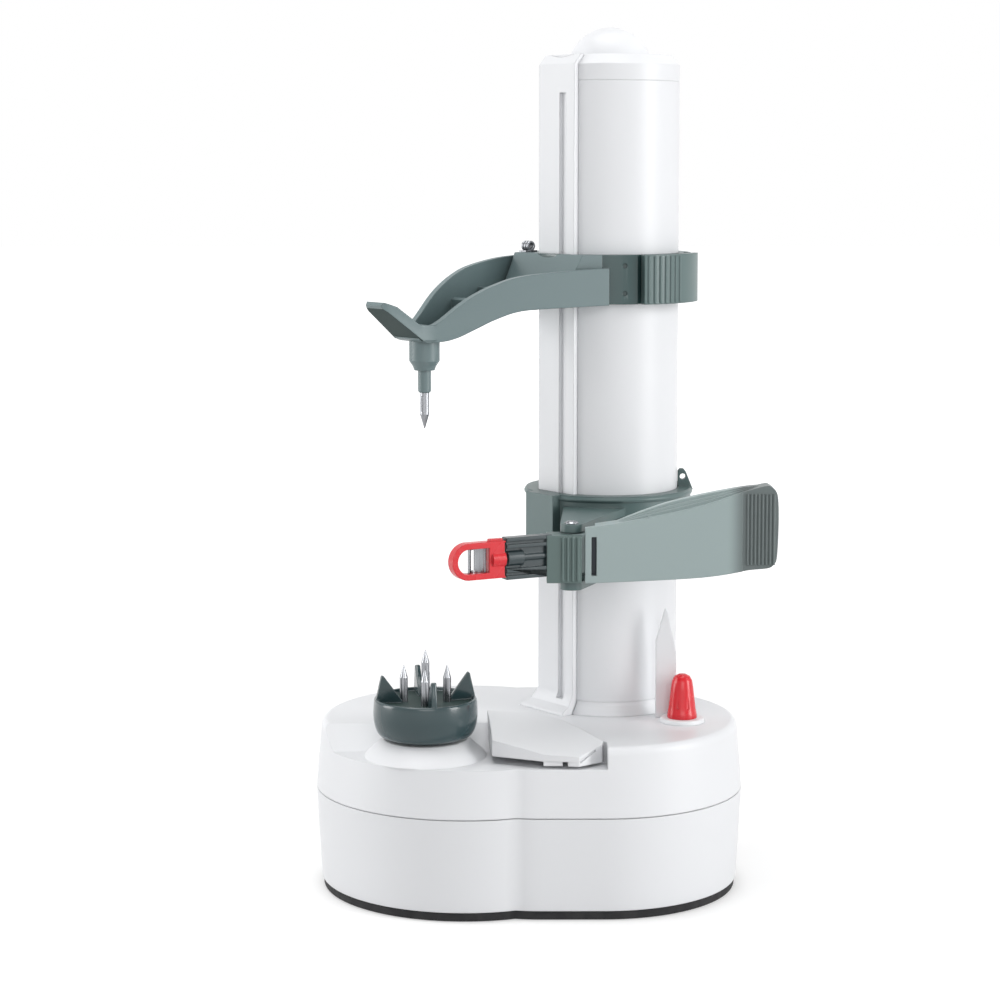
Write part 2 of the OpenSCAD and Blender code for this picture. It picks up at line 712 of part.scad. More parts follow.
module carriage_collar() color(grey_abs) difference() {
    union() {
        on_column() {
            translate([0, 0, carriage_z]) cylinder(r = carriage_r, h = carriage_h);
            // rolled rim at the top and bottom edge
            for (z = [carriage_z + 1.2, carriage_top - 1.2]) translate([0, 0, z]) rotate_extrude()
                translate([carriage_r - 0.3, 0]) circle(r = 0.9, $fn = 24);
            // housing of the half nut, over the rail
            translate([17, -7, carriage_z]) cube([13.4, 14, carriage_h]);
        }
        translate([0, 0, top_lug_z]) pivot_lug();
        translate([0, 0, low_lug_z]) pivot_lug();
        // web that ties the two lugs
        translate([0, 0, low_lug_z]) linear_extrude(top_lug_z + lug_t - low_lug_z)
            polygon([[14, -31], [18, -31], [23, -2], [17, -2]]);
        // ear with a hole at the collar's right
        translate([column.x + 25.4, column.y + 1.2, carriage_top]) rotate([90, 0, 0])
            linear_extrude(2.4) difference() {
                polygon([[-1.8, -1], [-1.8, 5.2], [-1, 6.1], [0.2, 6], [1, 5], [3.4, -1]]);
                translate([-0.1, 3.4]) circle(r = 1);
            }
    }
    on_column() translate([0, 0, carriage_z - 10]) linear_extrude(60) column_outline(slide_gap);
    at(pivot, low_lug_z - 1) cylinder(r = pivot_r, h = 40);
}

nut_h = 10;
nut_r = 8;
nut_arm_w = slot_w - 0.5;
module half_nut() color(nylon) on_column() rotate([0, 0, nut_angle]) translate([0, 0, blade_z - nut_h / 2]) {
    // arm through the slot, up to the collar
    translate([5, -nut_arm_w / 2, 0]) cube([col_r + slide_gap - 5.05, nut_arm_w, nut_h]);
    difference() {
        tube(nut_r, screw_r + 0.09, nut_h);
        translate([-20.5, -20, -1]) cube([21, 40, nut_h + 2]);
        translate([5, -nut_arm_w / 2, -1]) cube([10, nut_arm_w, nut_h + 2]);
    }
}

module pivot_pin() color(steel) at(pivot, low_lug_z) {
    cylinder(r = pivot_r, h = top_lug_z + lug_t - low_lug_z);
    translate([0, 0, top_lug_z + lug_t - low_lug_z]) cylinder(r1 = 2.4, r2 = 1.6, h = 0.8);
}

spring_h = 2.6;
module lever_spring() color(steel) at(pivot, lever_z + 0.1) coil(2.9, 0.4, spring_h, 3);

lever_x = 18.2;
flange_x = 21.5;
grip_end = 78.9;
grip_ribs_x = 69.2;
grip_pitch = 1.18;
grip_depth = 0.45;
plate_depth = 3;
flange_depth = 8;
// front outline of the lever's handle, in X and Z
handle_line = [[lever_x, lever_z - 0.1], [47.6, 109.9], [60, 111], [69.6, 112.7], [75.6, 113.3],
               [77.6, 114.6], [78.5, 117], [grip_end, 126], [78.8, 134], [78.2, 137.4],
               [76.6, 139], [74.7, 139.3], [67.4, 137.3], [56.5, 133.6], [45.7, 130.9],
               [31, 128], [lever_x, 126.1]];
handle_face = smooth_line(handle_line);
// top edge of the handle, and how far the flange behind it rises above it
crest = [[28, 127.4], [38, 129.4], [45.7, 130.9], [56.5, 133.6], [67.4, 137.3], [74, 139]];
crest_lift = [0, 1.9, 2.9, 2.7, 1, 0];
module raised_flange(share) polygon(concat(
    smooth_line([for (i = [0 : len(crest) - 1]) crest[i] + [0, crest_lift[i] * share]]),
    [for (i = [len(crest) - 1 : -1 : 0]) crest[i] - [0, 2.6]]));
module handle_slab(depth) translate([0, grip_y + depth, 0]) rotate([90, 0, 0])
    linear_extrude(depth) children();

module peel_lever() color(grey_abs) {
    difference() {
        union() {
            handle_slab(plate_depth) polygon(handle_face);
            // flange round the back of the handle
            handle_slab(flange_depth) difference() {
                polygon(handle_face);
                offset(delta = -2.2) polygon(handle_face);
                translate([0, 90]) square([flange_x, 60]);
            }
            // flange along the top edge, rising towards the back
            for (share = [0.34, 0.67, 1]) translate([0, 1.2 + 3.4 * share, 0])
                handle_slab(flange_depth - 1.2 - 3.4 * share) raised_flange(share);
            // two cross ribs
            handle_slab(flange_depth - 1.5) for (x = [38, 58])
                translate([x, 112.6]) square([1.6, 17]);
            // knuckle and the link to the handle
            at(pivot, lever_z + spring_h + 0.4) cylinder(r = knuckle_r, h = lever_top_z - lever_z - spring_h - 0.4);
            translate([pivot.x, grip_y + 1.8, lever_z + spring_h + 0.4])
                cube([7, 6, lever_top_z - lever_z - spring_h - 0.4]);
        }
        at(pivot, lever_z - 1) cylinder(r = pivot_r + shaft_gap, h = 30);
        // narrow slot near the pivot
        translate([20.2, grip_y - 1, 111]) cube([1.6, 3, 12.3]);
        // shallow recess for the grip
        translate([grip_ribs_x - 1.6, grip_y - 1, 100]) cube([30, 1 + grip_depth, 60]);
    }
    // ribs under the fingers
    for (i = [0 : grip_ribs - 1])
        translate([grip_ribs_x + i * grip_pitch, grip_y + grip_depth, 114.4]) cylinder(r = 0.42, h = 22.4);
}

arm_from = [8, -43];
bar_len = 17;
bar_t = 3.4;
bar_h = 3.4;
bar_z = 4.9;
rod_r = 1.3;
module on_blade_arm() translate([arm_from.x, arm_from.y, blade_z]) rotate([0, 0, blade_angle]) children();

module blade_arm() color(dark_grey) {
    difference() {
        translate([6.2, grip_y, lever_z]) cube([11, 8.5, lever_top_z - lever_z]);
        at(pivot, lever_z - 1) cylinder(r = knuckle_r + 0.1, h = 20);
        translate([pivot.x - 0.2, grip_y + 1.7, lever_z - 1]) cube([6, 10, 20]);
    }
    // vertical ribs on the block's face
    for (i = [0 : 3]) translate([11.2 + i * 1.6, grip_y, lever_z + 0.6])
        cylinder(r = 0.5, h = lever_top_z - lever_z - 1.2, $fn = 24);
    on_blade_arm() {
        // two outer bars with a groove along each, and a web between them
        for (side = [-1, 1]) difference() {
            translate([1, -bar_t / 2, side * bar_z - bar_h / 2]) cube([bar_len - 1, bar_t, bar_h]);
            translate([3, bar_t / 2 - 0.7, side * bar_z - 0.5]) cube([bar_len, 2, 1]);
        }
        translate([1, -0.7, -4]) cube([bar_len - 6, 1.4, 8]);
        rotate([0, 90, 0]) cylinder(r = rod_r, h = bar_len + 5);
        translate([bar_len - 6, 0, 0]) rotate([0, 90, 0]) cylinder(r = 2.5, h = 5.6);
    }
}

holder_t = 3.2;
loop_x = 30;
loop_r = 5.8;
window_r = 3.9;
holder_x = bar_len + 0.4;
module blade_holder() color(red) on_blade_arm() difference() {
    union() {
        translate([loop_x, 0, 0]) rotate([90, 0, 0]) cylinder(r = loop_r, h = holder_t, center = true);
        translate([holder_x, -holder_t / 2, -loop_r]) cube([loop_x - holder_x, holder_t, 2 * loop_r]);
        translate([holder_x, 0, 0]) rotate([0, 90, 0]) cylinder(r = 2.6, h = 4.6);
        // tab at the top edge
        translate([holder_x + 0.6, -0.8, loop_r - 0.4]) cube([4.6, 1.6, 1.1]);
    }
    translate([loop_x, 0, 0]) rotate([90, 0, 0]) cylinder(r = window_r, h = 10, center = true);
    translate([holder_x + 5.6, -5, -window_r]) cube([loop_x - holder_x - 5.6, 10, 2 * window_r]);
    translate([holder_x - 1, 0, 0]) rotate([0, 90, 0]) cylinder(r = rod_r + shaft_gap, h = 6);
    translate([holder_x - 1, -5, 2.1]) cube([1.3, 10, 3.2]);
    translate([holder_x - 1, -5, -5.3]) cube([1.3, 10, 3.2]);
}

// curved steel blade across the window, with its slit
blade_r = 3.6;
module peel_blade() color(steel) on_blade_arm() translate([loop_x - 3.4, blade_r - 1.9, 0]) difference() {
    translate([0, 0, -window_r]) tube(blade_r, blade_r - 0.55, 2 * window_r);
    translate([-10, -1.6, -10]) cube([20, 20, 20]);
    translate([0.2, -6, -window_r + 0.7]) cube([1.4, 4, 2 * window_r - 1.4]);
}

// ---- upper arm ----

arm_top = arm_z + arm_h;
arm_root = 20;
arm_tip = 80;
tip_half = 6.6;
root_half = 23;
under_side = [[13, 193.9], [36, 193.3], [50, 192.6], [58.5, 190.2], [65, 187.4], [71, 184.8],
              [76, 183.6], [82, 183.5], [85, 184.6]];
upper_side = [[84, 188.4], [78.5, 189.2], [70, 195.3], [65, 198.3], [58.5, 201.2], [50, 203.7],
              [36, 205], [24, 205.7], [13, 205.7]];
far_side = [[84, 188.4], [78.5, 189.4], [70, 196.6], [65, 200.1], [58.5, 203.4], [50, 206.2],
            [36, 208.3], [24, 209], [13, 209]];
arm_outline = concat(smooth_line(under_side), smooth_line(upper_side));
far_outline = concat(smooth_line(under_side), smooth_line(far_side));

module side_slab(width) translate([0, width / 2, 0]) rotate([90, 0, 0]) linear_extrude(width) children();
module arm_plan(inset = 0) translate([0, 0, 150]) linear_extrude(100)
    for (side = [-1, 1]) polygon([[8, 0], [8, side * (root_half - 4 - inset)],
        [arm_root - 3, side * (root_half - 3.6 - inset)], [arm_root, side * (root_half - inset)],
        [arm_tip, side * (tip_half - inset)], [arm_tip + 6, side * (tip_half - inset)],
        [arm_tip + 6, 0]]);
module sector(half) linear_extrude(400)
    polygon([[0, 0], [60 * cos(half), -60 * sin(half)], [70, 0], [60 * cos(half), 60 * sin(half)]]);
module at_button() translate([column.x, column.y, 0]) rotate([0, 0, button_angle]) children();

module top_arm() color(grey_abs) difference() {
    union() {
        on_column() {
            translate([0, 0, arm_z]) cylinder(r = arm_r, h = arm_h);
            // open channel: the outer form less the trough
            difference() {
                intersection() {
                    union() {
                        side_slab(60) polygon(arm_outline);
                        translate([0, -30.1, 0]) side_slab(60) polygon(far_outline);
                    }
                    arm_plan();
                }
                intersection() {
                    translate([0, 0, arm_wall]) side_slab(60)
                        polygon(concat(under_side, [[84, 230], [13, 230]]));
                    arm_plan(arm_wall);
                    translate([23, -30, 0]) cube([arm_tip - 20.5 - 3, 60, 300]);
                }
            }
            // fairing from the trough's floor up to the collar
            intersection() {
                side_slab(60) polygon([[13, 194], [37, 194.5], [32, 201], [28.6, 206.5], [26.8, 210.1], [13, 210.1]]);
                arm_plan(3.5);
            }
            // upturned thumb plate at the tip
            intersection() {
                side_slab(60) polygon([[77, 184], [84, 184.2], [97.4, 194.6], [98, 195.6], [97, 196.6],
                                       [93, 195.2], [85, 189.2], [77, 188.6]]);
                translate([0, 0, 150]) linear_extrude(100)
                    polygon([[70, -6.6], [84, -7.6], [96, -5.4], [98, -4], [98, 4], [96, 5.4],
                             [84, 7.6], [70, 6.6]]);
            }
            // ribs across the trough
            for (x = [44, 58]) intersection() {
                translate([x, -30, 0]) cube([1.6, 60, 300]);
                arm_plan(1);
                side_slab(60) polygon(concat(under_side, [for (p = upper_side) [p.x, p.y - 5]]));
            }
        }
        on_food() rotate_extrude() polygon([[0, 174.2], [3.3, 174.2], [3.7, 175.4], [4.9, 177.2],
                                            [4.9, 186], [0, 186]]);
    }
    on_column() translate([0, 0, arm_z - 20]) linear_extrude(60) column_outline(slide_gap);
    // pocket and stem hole of the release button
    at_button() {
        difference() {
            translate([0, 0, 100]) sector(button_half + 2.6);
            translate([0, 0, 90]) cylinder(r = pocket_r, h = 200);
        }
        translate([20, 0, arm_z + arm_h / 2]) rotate([0, 90, 0]) cylinder(r = 1.6, h = 9);
    }
    // dimples in the collar's front
    for (z = [arm_z + 3.6, arm_top - 3.6]) translate([column.x, column.y, z]) rotate([0, 0, 278])
        translate([arm_r, 0, 0]) rotate([0, 90, 0]) cylinder(r = 0.8, h = 1.2, center = true);
    on_food() translate([0, 0, 170]) cylinder(r = 2.1 + shaft_gap, h = 14.4);
}

// steel spring clip on the collar's back edge
module arm_clip() color(steel) on_column() translate([21.6, -16.8, arm_top]) {
    translate([-2.5, -1.8, 0]) cube([5, 3.6, 0.6]);
    for (y = [-1.3, 0, 1.3]) translate([0, y, 2]) rotate([90, 0, 0]) rotate_extrude()
        translate([1.3, 0]) circle(r = 0.5, $fn = 24);
}

module arm_release_button() color(grey_abs) at_button() difference() {
    union() {
        intersection() {
            translate([0, 0, arm_z]) tube(button_r, 26.9, arm_h);
            sector(button_half);
        }
        // vertical finger ribs on the front half
        for (a = [-27 : 4.2 : 0]) rotate([0, 0, a]) translate([button_r, 0, arm_z + 0.5])
            cylinder(r = 0.45, h = arm_h - 1, $fn = 24);
        translate([25.2, 0, arm_z + arm_h / 2]) rotate([0, 90, 0]) cylinder(r = 1.52, h = 2.6);
    }
}

module button_spring() color(steel) at_button() translate([pocket_r + 0.05, 0, arm_z + arm_h / 2])
    rotate([0, 90, 0]) coil(2.3, 0.25, 1.3, 3);

spike_pin_r = 2.1;
spike_pin_z = 167;
module top_spike() color(grey_abs) on_food() rotate_extrude()
    polygon([[0, spike_pin_z], [spike_pin_r - 0.3, spike_pin_z], [spike_pin_r, spike_pin_z + 0.6],
             [spike_pin_r, 184], [0, 184]]);

module spike_point() color(steel) on_food() difference() {
    rotate_extrude() polygon([[0, 155.5], [0.15, 155.5], [1.5, 160], [1.5, spike_pin_z], [0, spike_pin_z]]);
    for (a = [0, 120, 240]) rotate([0, 0, a]) translate([1.2, -0.3, 161]) cube([1, 0.6, 5]);
}

foot_pad();
bottom_plate();
base_lower_shell();
base_upper_shell();
battery_door();
battery_cells();
battery_contacts();
dc_jack();
motor();
motor_pinion();
compound_gear();
idler_gear();
gear_plate();
gear_axles();
start_switch();
start_key();
start_spring();
housing_screws();
food_gear();
food_spindle();
spindle_bush();
food_cup();
food_spikes();
column_rail();
column_cover();
column_cap();
screw_bearings();
lead_screw();
screw_gear();
knife_stand();
knife_handle();
knife_blade();
carriage_collar();
half_nut();
pivot_pin();
lever_spring();
peel_lever();
blade_arm();
blade_holder();
peel_blade();
top_arm();
arm_clip();
arm_release_button();
button_spring();
top_spike();
spike_point();
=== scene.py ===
"""Electric potato peeler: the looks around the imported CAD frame. Lengths are in metres."""
import json
import math

import bpy
import bmesh
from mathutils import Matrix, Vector


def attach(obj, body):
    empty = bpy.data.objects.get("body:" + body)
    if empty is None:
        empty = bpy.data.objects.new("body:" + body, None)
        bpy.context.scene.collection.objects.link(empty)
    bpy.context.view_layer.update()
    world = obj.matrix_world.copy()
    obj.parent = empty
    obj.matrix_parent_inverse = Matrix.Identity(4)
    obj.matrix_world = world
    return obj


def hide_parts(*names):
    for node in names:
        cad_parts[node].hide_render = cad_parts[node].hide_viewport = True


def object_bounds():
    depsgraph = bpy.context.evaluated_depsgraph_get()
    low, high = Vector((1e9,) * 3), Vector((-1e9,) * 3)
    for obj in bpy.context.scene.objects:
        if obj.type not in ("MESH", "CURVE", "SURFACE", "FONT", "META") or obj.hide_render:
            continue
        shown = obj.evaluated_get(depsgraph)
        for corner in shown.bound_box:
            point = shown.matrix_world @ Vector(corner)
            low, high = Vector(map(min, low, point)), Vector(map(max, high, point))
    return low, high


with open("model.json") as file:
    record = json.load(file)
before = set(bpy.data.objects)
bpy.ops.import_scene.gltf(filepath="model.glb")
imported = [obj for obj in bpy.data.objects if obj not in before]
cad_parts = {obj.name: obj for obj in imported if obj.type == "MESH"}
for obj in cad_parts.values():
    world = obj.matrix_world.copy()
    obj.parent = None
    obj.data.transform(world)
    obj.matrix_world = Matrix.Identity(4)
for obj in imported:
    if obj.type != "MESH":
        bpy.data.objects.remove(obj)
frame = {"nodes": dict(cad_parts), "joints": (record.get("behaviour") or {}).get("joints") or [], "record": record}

CAD_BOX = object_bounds()
MM = 0.001

# ---- places taken from the frame ----


def joint(name):
    """The joint of that name, as the record has it."""
    return next(j for j in frame["joints"] if j["name"] == name)


FOOD = Vector(joint("food_spin")["pos_m"])
COLUMN = Vector(joint("screw_spin")["pos_m"])

# ---- materials ----


def new_material(name):
    """A new node material, its tree and its shader."""
    mat = bpy.data.materials.new(name)
    mat.use_nodes = True
    tree = mat.node_tree
    shader = tree.nodes["Principled BSDF"]
    return mat, tree, shader


def add(tree, kind, **settings):
    """A node of that kind with its sockets and properties set."""
    node = tree.nodes.new(kind)
    for key, value in settings.items():
        if key in node.inputs:
            node.inputs[key].default_value = value
        else:
            setattr(node, key, value)
    return node


def noise(tree, scale, detail=3.0, stretch=(1, 1, 1)):
    """Noise in the row frame, so that its grain has a real size on every piece."""
    coords = add(tree, "ShaderNodeTexCoord")
    mapping = add(tree, "ShaderNodeMapping", Scale=stretch)
    texture = add(tree, "ShaderNodeTexNoise", Scale=scale, Detail=detail)
    tree.links.new(coords.outputs["Object"], mapping.inputs["Vector"])
    tree.links.new(mapping.outputs["Vector"], texture.inputs["Vector"])
    return texture.outputs["Fac"]


def remap(tree, source, old, new, **settings):
    """A number moved from one range to another, and held at the new range's ends."""
    node = add(tree, "ShaderNodeMapRange", **settings)
    node.inputs["From Min"].default_value, node.inputs["From Max"].default_value = old
    node.inputs["To Min"].default_value, node.inputs["To Max"].default_value = new
    tree.links.new(source, node.inputs["Value"])
    return node.outputs["Result"]


# the range in which almost all of a noise lies
NOISE_RANGE = (0.3, 0.7)


def spread(tree, source, low, high):
    """A noise turned into a number between low and high."""
    return remap(tree, source, NOISE_RANGE, (low, high))


def scaled(tree, colour_socket, factor_socket):
    """A colour times a number."""
    scale = add(tree, "ShaderNodeVectorMath", operation="SCALE")
    tree.links.new(colour_socket, scale.inputs[0])
    tree.links.new(factor_socket, scale.inputs["Scale"])
    return scale.outputs["Vector"]


def two_tone(tree, factor, first, second):
    """A colour between two, by a number."""
    mix = add(tree, "ShaderNodeMix", data_type="RGBA")
    colours = [s for s in mix.inputs if s.type == "RGBA"]
    colours[0].default_value = (*first, 1)
    colours[1].default_value = (*second, 1)
    tree.links.new(factor, mix.inputs["Factor"])
    return next(s for s in mix.outputs if s.type == "RGBA")


def tint(colour, factor):
    """A colour made lighter or darker, and kept within white."""
    return tuple(min(1.0, c * factor) for c in colour)


# how open a corner is where the painted shade is darkest, and where it ends
CORNER_SHADE_RANGE = (0.35, 0.95)


def shade_corners(tree, colour_socket, reach, depth):
    """Darkens a colour a little in corners and seams: painted shade, by how closed in each place is."""
    corner = add(tree, "ShaderNodeAmbientOcclusion", Distance=reach, samples=6)
    corner_shade = remap(tree, corner.outputs["AO"], CORNER_SHADE_RANGE, (1 - depth, 1.0))
    return scaled(tree, colour_socket, corner_shade)


def darken_along_x(tree, colour_socket, start, end, share):
    """Painted shade: takes a colour down to a share of itself between two places along the row's X."""
    split = add(tree, "ShaderNodeSeparateXYZ")
    tree.links.new(add(tree, "ShaderNodeTexCoord").outputs["Object"], split.inputs[0])
    ramp = remap(tree, split.outputs["X"], (start, end), (1.0, share),
                 interpolation_type="SMOOTHSTEP")
    return scaled(tree, colour_socket, ramp)


def surface(tree, shader, height, strength, distance, edge):
    """Bump from a height, over edges rounded by a small radius."""
    rounding = add(tree, "ShaderNodeBevel", samples=6, Radius=edge)
    bump = add(tree, "ShaderNodeBump", Strength=strength, Distance=distance)
    tree.links.new(height, bump.inputs["Height"])
    tree.links.new(rounding.outputs["Normal"], bump.inputs["Normal"])
    tree.links.new(bump.outputs["Normal"], shader.inputs["Normal"])


# noise of the plastics, per metre: clouds drawn out along the height, and patches of wear
CLOUD_SCALE, CLOUD_STRETCH = 22, (1, 1, 0.35)
WEAR_SCALE = 60
COAT_ROUGHNESS = 0.08


def plastic(name, colour, rough, grain=2600, grain_depth=0.00002, shift=0.05, coat=0.0,
            edge=0.0005, corner_shade=0.18, reach=0.006, wear=0.03, gleam=0.5, shade_along_x=None):
    """Moulded plastic: faint flow clouds in its colour, uneven gloss and a fine tool grain."""
    mat, tree, shader = new_material(name)
    clouds = noise(tree, CLOUD_SCALE, 2, CLOUD_STRETCH)
    body = two_tone(tree, clouds, tint(colour, 1 - shift), tint(colour, 1 + shift))
    # painted shade along X, where one is given
    if shade_along_x:
        body = darken_along_x(tree, body, *shade_along_x)
    # painted shade in corners and seams
    tree.links.new(shade_corners(tree, body, reach, corner_shade), shader.inputs["Base Color"])
    handled = spread(tree, noise(tree, WEAR_SCALE, 3), rough - wear, rough + wear)
    tree.links.new(handled, shader.inputs["Roughness"])
    shader.inputs["Coat Weight"].default_value = coat
    shader.inputs["Coat Roughness"].default_value = COAT_ROUGHNESS
    shader.inputs["Specular IOR Level"].default_value = gleam
    surface(tree, shader, noise(tree, grain, 2), 0.25, grain_depth, edge)
    return mat


STREAK_SCALE = 900


def metal(name, colour, rough, stretch):
    """Drawn or brushed metal, with fine streaks along one direction."""
    mat, tree, shader = new_material(name)
    shader.inputs["Metallic"].default_value = 1.0
    streaks = noise(tree, STREAK_SCALE, 3, stretch)
    body = two_tone(tree, spread(tree, streaks, 0, 1), tint(colour, 0.62), tint(colour, 1.12))
    # painted shade in corners and seams
    tree.links.new(shade_corners(tree, body, 0.003, 0.3), shader.inputs["Base Color"])
    tree.links.new(spread(tree, streaks, rough - 0.06, rough + 0.1), shader.inputs["Roughness"])
    surface(tree, shader, streaks, 0.3, 0.00001, 0.0002)
    return mat


def rubber(name, colour):
    """Matt rubber with a pebbled skin and pale dust."""
    mat, tree, shader = new_material(name)
    dust = spread(tree, noise(tree, 220, 8), 0, 1)
    body = two_tone(tree, dust, tint(colour, 0.8), tint(colour, 1.8))
    tree.links.new(body, shader.inputs["Base Color"])
    tree.links.new(spread(tree, dust, 0.72, 0.9), shader.inputs["Roughness"])
    surface(tree, shader, noise(tree, 1500, 3), 0.5, 0.00006, 0.0004)
    return mat


# painted shade on the lever's grip: where its pale tone starts and stops to darken, along X, and the share that is
# left
LEVER_SHADE = (0.0625, 0.0690, 0.36)


def make_materials():
    """One material for each slot, and for the nodes and faces that differ from their slot, mostly by painted shade
    or highlight.
    """
    slate = (0.140, 0.194, 0.200)
    # painted highlight: a lighter copy of the slate, for the sheen the lamps leave on the lever's face
    lever_lit_slate = (0.320, 0.395, 0.394)
    # painted shade: a darker copy of the slate for the upper arm's ring
    ring_shaded_slate = (0.028, 0.066, 0.066)
    deep_slate = (0.098, 0.152, 0.150)
    shadow_slate = (0.100, 0.150, 0.142)
    # painted shade: a darker copy of the slate for the cup, whose gloss and coat are real
    cup_shaded_slate = (0.022, 0.050, 0.056)
    # a real matt surface for the cup's deck, and painted shade on the thumb plate's underside
    matt_and_shade_slate = (0.032, 0.053, 0.050)
    # the corner darkening given to each plastic is painted shade in corners and seams
    return {
        "white_abs": plastic("white_abs", (0.80, 0.81, 0.83), 0.36, grain=1800, shift=0.006,
                             edge=0.0006, corner_shade=0.07, wear=0.012, gleam=0.36),
        "grey_abs": plastic("grey_abs", slate, 0.38, grain=3200, grain_depth=0.00004, shift=0.03),
        "dark_abs": plastic("dark_abs", deep_slate, 0.36, grain=3200, grain_depth=0.00004,
                            shift=0.04, corner_shade=0.4, reach=0.02),
        "blade_arm": plastic("shadow_abs", shadow_slate, 0.34, grain=3200, grain_depth=0.00003,
                             shift=0.05),
        # the lever: painted highlight over its face, and painted shade towards its grip
        "peel_lever": plastic("lever_lit_abs", lever_lit_slate, 0.36, grain=3200, grain_depth=0.00004,
                              shift=0.02, shade_along_x=LEVER_SHADE),
        # painted shade on the upper arm's ring
        "ring": plastic("ring_shaded_abs", ring_shaded_slate, 0.24, grain=2600, shift=0.04, coat=0.25),
        # painted shade on the blade arm's bars and its lips
        "bars": plastic("bars_shaded_abs", (0.026, 0.042, 0.047), 0.3, grain=3200, shift=0.05, coat=0.15),
        # painted shade in the lever's slot
        "slot": plastic("slot_shaded_abs", (0.012, 0.02, 0.032), 0.5),
        # painted shade on the cup, with a real glossy coat
        "food_cup": plastic("cup_shaded_abs", cup_shaded_slate, 0.2, grain=2600, shift=0.04, coat=0.3),
        # real matt surface on the cup's deck, painted shade on the thumb plate's underside
        "matt": plastic("matt_and_shade_abs", matt_and_shade_slate, 0.55, grain=2600, shift=0.04, gleam=0.12),
        "red_plastic": plastic("red_plastic", (0.66, 0.008, 0.018), 0.26, coat=0.1, shift=0.04,
                               edge=0.0004),
        "black_plastic": plastic("black_plastic", (0.022, 0.022, 0.024), 0.42, shift=0.12),
        "nylon": plastic("nylon", (0.70, 0.69, 0.62), 0.45, shift=0.05, edge=0.0002),
        "cell": plastic("cell", (0.03, 0.045, 0.10), 0.3, shift=0.1),
        "steel": metal("steel", (0.36, 0.37, 0.39), 0.24, (1, 1, 0.05)),
        "brass": metal("brass", (0.62, 0.44, 0.20), 0.34, (0.1, 1, 1)),
        "black_rubber": rubber("black_rubber", (0.011, 0.011, 0.012)),
    }


def paint_nodes(materials):
    """Every CAD node takes the material of its slot."""
    for entry in frame["record"]["subparts"]:
        node = frame["nodes"][entry["node"]]
        node.data.materials.clear()
        node.data.materials.append(materials.get(entry["node"], materials[entry["material_slot"]]))
        smooth(node.data)


SMOOTH_ANGLE = 32


def smooth(mesh):
    """Smooth shading over curved faces, sharp where faces meet at an angle."""
    for face in mesh.polygons:
        face.use_smooth = True
    mesh.set_sharp_from_angle(angle=math.radians(SMOOTH_ANGLE))


# ---- rounded pieces ----

WELD = 2e-6
NORMAL_WEIGHT = 60
EDGE_SEGMENTS = 2
# in degrees: faces that bend less than the first are one face, edges over the second are rounded
FLAT_ANGLE = 0.05
SHARP_ANGLE = 28
BODY_OF = {n: body for body, nodes in frame["record"]["behaviour"]["bodies"].items() for n in nodes}
SLOT_OF = {entry["node"]: entry["material_slot"] for entry in frame["record"]["subparts"]}


def rounded(node, radius, flat):
    """A copy of a CAD node with every sharp edge rounded, as a moulded or ground part has."""
    source = frame["nodes"][node]
    bm = bmesh.new()
    bm.from_mesh(source.data)
    bmesh.ops.remove_doubles(bm, verts=bm.verts, dist=WELD)
    if flat:
        bmesh.ops.dissolve_limit(bm, angle_limit=math.radians(flat), verts=bm.verts,
                                 edges=bm.edges)
    mesh = bpy.data.meshes.new(node + "_skin")
    bm.to_mesh(mesh)
    bm.free()
    piece = bpy.data.objects.new(node + "_skin", mesh)
    bpy.context.scene.collection.objects.link(piece)
    bevel = piece.modifiers.new("edges", "BEVEL")
    bevel.width = radius * MM
    bevel.segments = EDGE_SEGMENTS
    bevel.limit_method = "ANGLE"
    bevel.angle_limit = math.radians(SHARP_ANGLE)
    bevel.use_clamp_overlap = True
    bevel.miter_outer = "MITER_SHARP"
    bevel.harden_normals = False
    normals = piece.modifiers.new("faces", "WEIGHTED_NORMAL")
    normals.mode = "FACE_AREA_WITH_ANGLE"
    normals.keep_sharp = False
    normals.weight = NORMAL_WEIGHT
    for face in mesh.polygons:
        face.use_smooth = True
    mesh.materials.append(MATERIALS.get(node, MATERIALS[SLOT_OF[node]]))
    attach(piece, BODY_OF[node])
    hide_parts(node)
    return piece


def refinish_or_shade(piece, finish_or_shade, inside):
    """Gives another material, a matt surface or painted shade, to the faces whose corners and normal pass a test.
    """
    mesh = piece.data
    mesh.materials.append(MATERIALS[finish_or_shade])
    slot = len(mesh.materials) - 1
    for face in mesh.polygons:
        if inside([mesh.vertices[v].co for v in face.vertices], face.normal):
            face.material_index = slot


# where the painted shade on the upper arm, the blade arm's bars and the lever's slot begins and ends
RING_RADIUS = 27.6 * MM
PLATE_END = -40 * MM
BARS_END = 6.1 * MM
SLOT_SPAN = (20 * MM, 22 * MM)
SLOT_FRONT = -45.99 * MM
SLOT_TOP = 123.5 * MM


def on_ring(corners, normal):
    """Faces of the upper arm's ring round the column, which are painted with shade."""
    return all((p - COLUMN).to_2d().length < RING_RADIUS for p in corners)


def under_plate(corners, normal):
    """The slanted underside of the upper arm's thumb plate, which is painted with shade."""
    slanted = normal.x < -0.4 and -0.9 < normal.z < -0.7
    return slanted and min(p.x for p in corners) < PLATE_END


def on_bars(corners, normal):
    """Faces of the blade arm's bars, beyond its ribbed block, which are painted with shade."""
    return sum(p.x for p in corners) / len(corners) < BARS_END


def in_slot(corners, normal):
    """The walls and floor of the slot at the lever's root, painted with the shade of the recess."""
    return all(SLOT_SPAN[0] < p.x < SLOT_SPAN[1] and p.y > SLOT_FRONT and p.z < SLOT_TOP
               for p in corners)


